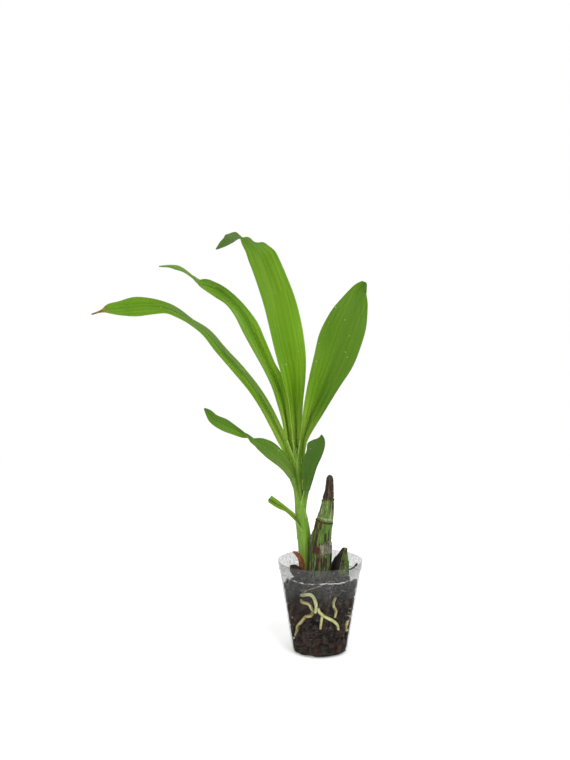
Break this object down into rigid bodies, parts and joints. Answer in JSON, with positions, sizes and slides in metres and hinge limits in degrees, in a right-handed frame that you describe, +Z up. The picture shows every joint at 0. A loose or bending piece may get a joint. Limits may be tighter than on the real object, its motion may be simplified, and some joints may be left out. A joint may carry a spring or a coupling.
{
  "type": "potted orchid",
  "caption": "Catasetum orchid with arching folded leaves, a sheathed green growth and older pseudobulbs, rooted in bark mix in a clear tapered pot.",
  "frame": {"origin": "centre of the flat underside of the pot", "axes": "+Z up through the pot and along the plant, +X to the right of the front view, +Y away from the viewer"},
  "size_m": [0.2204, 0.0941, 0.345],
  "materials": {
    "clear_plastic": "gloss",
    "bark": "matte",
    "root": "satin",
    "green_stem": "satin",
    "leaf": "satin",
    "pseudobulb": "satin",
    "silver_sheath": "matte",
    "black_sheath": "matte",
    "brown_bract": "matte"
  },
  "bodies": {
    "root": {"pot": "clear_plastic", "bark_mix": "bark", "roots": "root", "new_growth": "green_stem", "leaf_1": "leaf", "leaf_2": "leaf", "leaf_3": "leaf", "leaf_4": "leaf", "leaf_5": "leaf", "leaf_6": "leaf", "leaf_7": "leaf", "old_pseudobulb": "pseudobulb", "old_sheath": "silver_sheath", "back_pseudobulb": "pseudobulb", "back_sheath": "black_sheath", "bract": "brown_bract"}
  },
  "joints": []
}
